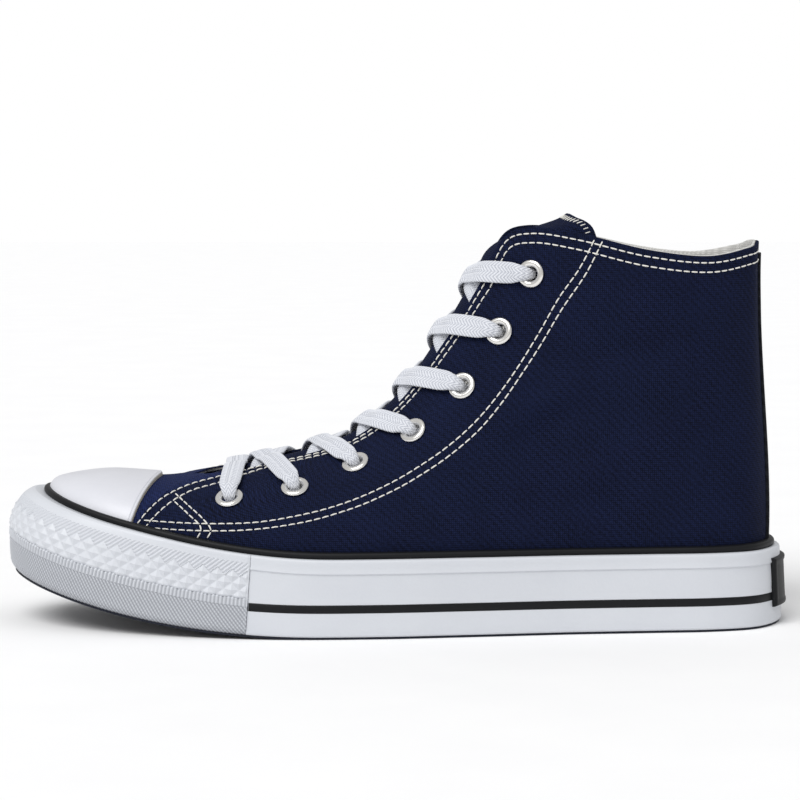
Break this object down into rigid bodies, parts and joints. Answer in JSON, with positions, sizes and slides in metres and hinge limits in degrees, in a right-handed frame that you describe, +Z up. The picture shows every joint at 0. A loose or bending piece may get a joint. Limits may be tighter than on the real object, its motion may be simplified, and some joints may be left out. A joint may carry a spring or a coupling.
{
  "type": "canvas sneaker",
  "caption": "High-top canvas sneaker, left shoe: navy canvas upper, white rubber toe cap and sidewall with dark piping and stripe, metal eyelets, flat white laces",
  "frame": {"origin": "on the ground, under the middle of the shoe's box", "axes": "+X from toe to heel, +Y from the outer to the inner side of the foot, +Z up"},
  "size_m": [0.3, 0.1042, 0.1567],
  "materials": {
    "tread_rubber": "matte moulded rubber, near black navy",
    "white_rubber": "smooth white vulcanised rubber with a low gloss",
    "black_rubber": "satin black rubber",
    "white_lining": "plain white cotton lining",
    "navy_canvas": "fine twill-like cotton canvas with off-white stitching",
    "black_canvas": "black cotton webbing",
    "nickel": "nickel-plated brass, satin",
    "white_cotton": "flat braided white cotton"
  },
  "bodies": {
    "root": {"outsole": "tread_rubber", "sidewall": "white_rubber", "toe_bumper": "white_rubber", "piping": "black_rubber", "stripe": "black_rubber", "heel_label": "black_rubber", "insole": "white_lining", "upper": "navy_canvas", "toe_cap": "white_rubber", "heel_stay": "black_canvas", "tongue": "navy_canvas", "eyelet_outer_1": "nickel", "eyelet_outer_2": "nickel", "eyelet_outer_3": "nickel", "eyelet_outer_4": "nickel", "eyelet_outer_5": "nickel", "eyelet_outer_6": "nickel", "eyelet_outer_7": "nickel", "eyelet_inner_1": "nickel", "eyelet_inner_2": "nickel", "eyelet_inner_3": "nickel", "eyelet_inner_4": "nickel", "eyelet_inner_5": "nickel", "eyelet_inner_6": "nickel", "eyelet_inner_7": "nickel", "lace_bar": "white_cotton", "lace_crossing_1": "white_cotton", "lace_crossing_2": "white_cotton", "lace_crossing_3": "white_cotton", "lace_crossing_4": "white_cotton", "lace_crossing_5": "white_cotton", "lace_crossing_6": "white_cotton"}
  },
  "joints": []
}
